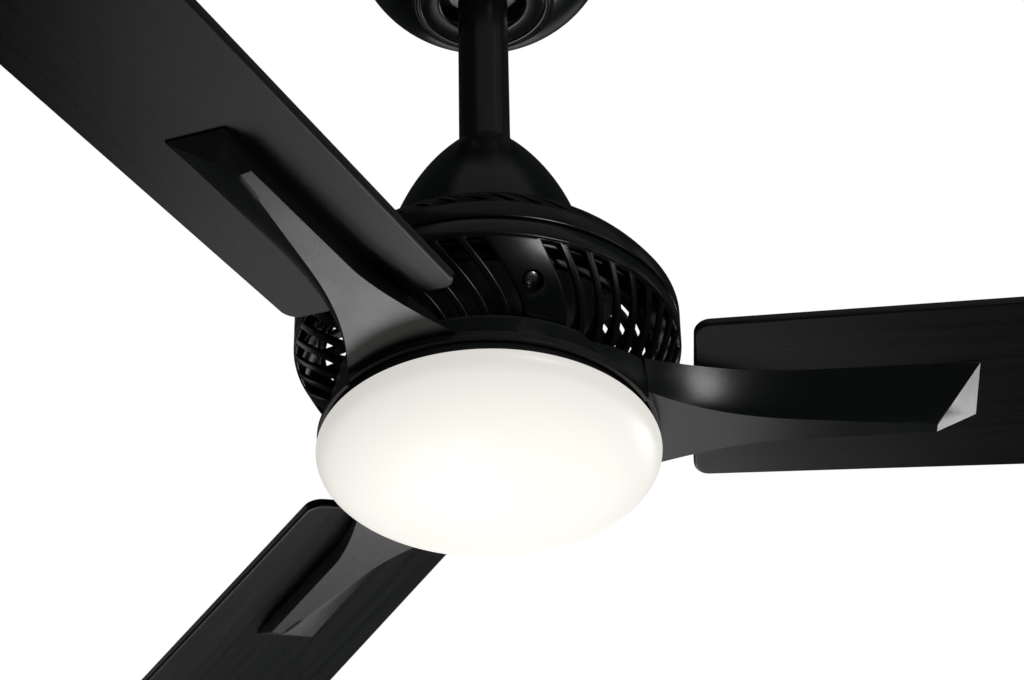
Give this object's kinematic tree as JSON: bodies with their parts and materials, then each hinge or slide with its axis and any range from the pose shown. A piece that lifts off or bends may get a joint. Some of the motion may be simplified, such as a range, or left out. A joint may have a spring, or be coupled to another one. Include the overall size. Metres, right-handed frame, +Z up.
{
  "type": "ceiling fan with light",
  "caption": "Ceiling fan hung on a short rod, with slim wood blades on flared cast arms, a vented round motor housing and an opal light under the hub.",
  "frame": {"origin": "on the ceiling plane, on the axis of the canopy and downrod", "axes": "+Z up, away from the room; +X roughly along the first blade; -Y towards the viewer"},
  "size_m": [1.0467, 1.1832, 0.376],
  "materials": {
    "black_paint": "satin black powder coat",
    "cast_black": "satin black paint on die-cast metal",
    "blade_black": "satin black stained wood with a fine grain",
    "opal": "opal white, satin",
    "plated_steel": "zinc plated",
    "raw_aluminium": "as cast",
    "silicon_steel": "laminated",
    "copper": "enamelled copper wire",
    "magnet": "matt grey",
    "bearing_steel": "ground",
    "ball_plastic": "moulded",
    "board_white": "white solder mask",
    "driver_case": "moulded",
    "led_phosphor": "phosphor",
    "lead_sheath": "insulated leads in one sheath"
  },
  "bodies": {
    "root": {"hanger_bracket": "plated_steel", "canopy": "black_paint", "canopy_screws": "black_paint", "canopy_plate": "black_paint"},
    "pendulum": {"hanger_ball": "ball_plastic", "ball_pin": "plated_steel", "ball_set_screw": "plated_steel", "downrod": "black_paint", "coupling": "raw_aluminium", "clevis_pin": "plated_steel", "cotter_pin": "plated_steel", "coupling_set_screws": "plated_steel", "coupling_screws": "plated_steel", "coupling_cover": "black_paint", "motor_shaft": "bearing_steel", "mount_plate": "raw_aluminium", "upper_housing": "black_paint", "lower_housing": "black_paint", "housing_screws": "plated_steel", "stator_core": "silicon_steel", "stator_windings": "copper", "light_pan": "black_paint", "shaft_nut": "plated_steel", "led_driver": "driver_case", "led_board": "board_white", "leds": "led_phosphor", "led_board_screws": "plated_steel", "lead_bundle": "lead_sheath"},
    "rotor": {"bearing_upper": "bearing_steel", "bearing_lower": "bearing_steel", "rotor_upper_bell": "cast_black", "rotor_lower_bell": "cast_black", "rotor_magnets": "magnet", "flywheel": "raw_aluminium", "flywheel_screws": "plated_steel", "blade_arm_1": "cast_black", "blade_arm_2": "cast_black", "blade_arm_3": "cast_black", "arm_screws": "plated_steel", "blade_1": "blade_black", "blade_2": "blade_black", "blade_3": "blade_black", "blade_screws": "black_paint"},
    "lamp": {"diffuser": "opal"}
  },
  "joints": [
    {"name": "rod_swing", "type": "hinge", "parent": "root", "child": "pendulum", "pos_m": [0, 0, -0.03], "axis": [1, 0, 0], "range_deg": [-17, 17]},
    {"name": "rotor_spin", "type": "hinge", "parent": "pendulum", "child": "rotor", "pos_m": [0, 0, -0.312], "axis": [0, 0, 1], "continuous": true},
    {"name": "diffuser_twist", "type": "hinge", "parent": "pendulum", "child": "lamp", "pos_m": [0, 0, -0.352], "axis": [0, 0, 1], "range_deg": [0, 25]}
  ]
}
